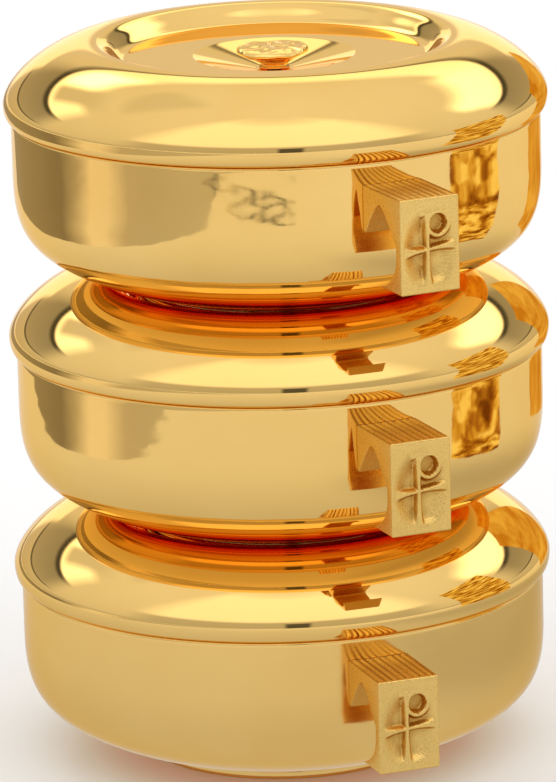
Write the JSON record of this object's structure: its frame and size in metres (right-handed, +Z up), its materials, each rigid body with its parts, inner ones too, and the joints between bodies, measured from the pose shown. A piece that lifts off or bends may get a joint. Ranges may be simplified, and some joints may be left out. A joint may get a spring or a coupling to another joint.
{
  "type": "stacking covered bowls",
  "caption": "Stack of round covered bread bowls in polished gilt metal, each with a domed dished lid, a small knob and a cast hooked finger handle.",
  "frame": {"origin": "centre of the lowest foot ring's resting face", "axes": "+Z up along the stack's axis, -Y towards the lowest handle"},
  "size_m": [0.1738, 0.1971, 0.2317],
  "materials": {
    "polished_gilt": "mirror polished gold plate, lightly planished on the bowl walls",
    "matte_gilt": "cast and sand-blasted gold plate",
    "cast_gilt": "cast gold plate, softly polished",
    "plain_brass": "turned brass, plain"
  },
  "bodies": {
    "bottom_vessel": {"bottom_bowl": "polished_gilt", "bottom_foot_ring": "polished_gilt", "bottom_handle": "matte_gilt", "bottom_handle_screw_left": "plain_brass", "bottom_handle_screw_right": "plain_brass"},
    "bottom_cover": {"bottom_lid": "polished_gilt", "bottom_lid_ring": "polished_gilt", "bottom_knob": "cast_gilt", "bottom_knob_washer": "plain_brass", "bottom_knob_screw": "plain_brass"},
    "middle_vessel": {"middle_bowl": "polished_gilt", "middle_foot_ring": "polished_gilt", "middle_handle": "matte_gilt", "middle_handle_screw_left": "plain_brass", "middle_handle_screw_right": "plain_brass"},
    "middle_cover": {"middle_lid": "polished_gilt", "middle_lid_ring": "polished_gilt", "middle_knob": "cast_gilt", "middle_knob_washer": "plain_brass", "middle_knob_screw": "plain_brass"},
    "top_vessel": {"top_bowl": "polished_gilt", "top_foot_ring": "polished_gilt", "top_handle": "matte_gilt", "top_handle_screw_left": "plain_brass", "top_handle_screw_right": "plain_brass"},
    "top_cover": {"top_lid": "polished_gilt", "top_lid_ring": "polished_gilt", "top_knob": "cast_gilt", "top_knob_washer": "plain_brass", "top_knob_screw": "plain_brass"}
  },
  "joints": [
    {"name": "bottom_cover_lift", "type": "slide", "parent": "bottom_vessel", "child": "bottom_cover", "axis": [0, 0, 1], "range_m": [0, 0.06]},
    {"name": "middle_vessel_lift", "type": "slide", "parent": "bottom_cover", "child": "middle_vessel", "axis": [0, 0, 1], "range_m": [0, 0.04]},
    {"name": "middle_cover_lift", "type": "slide", "parent": "middle_vessel", "child": "middle_cover", "axis": [0, 0, 1], "range_m": [0, 0.06]},
    {"name": "top_vessel_lift", "type": "slide", "parent": "middle_cover", "child": "top_vessel", "axis": [0, 0, 1], "range_m": [0, 0.04]},
    {"name": "top_cover_lift", "type": "slide", "parent": "top_vessel", "child": "top_cover", "axis": [0, 0, 1], "range_m": [0, 0.06]}
  ]
}
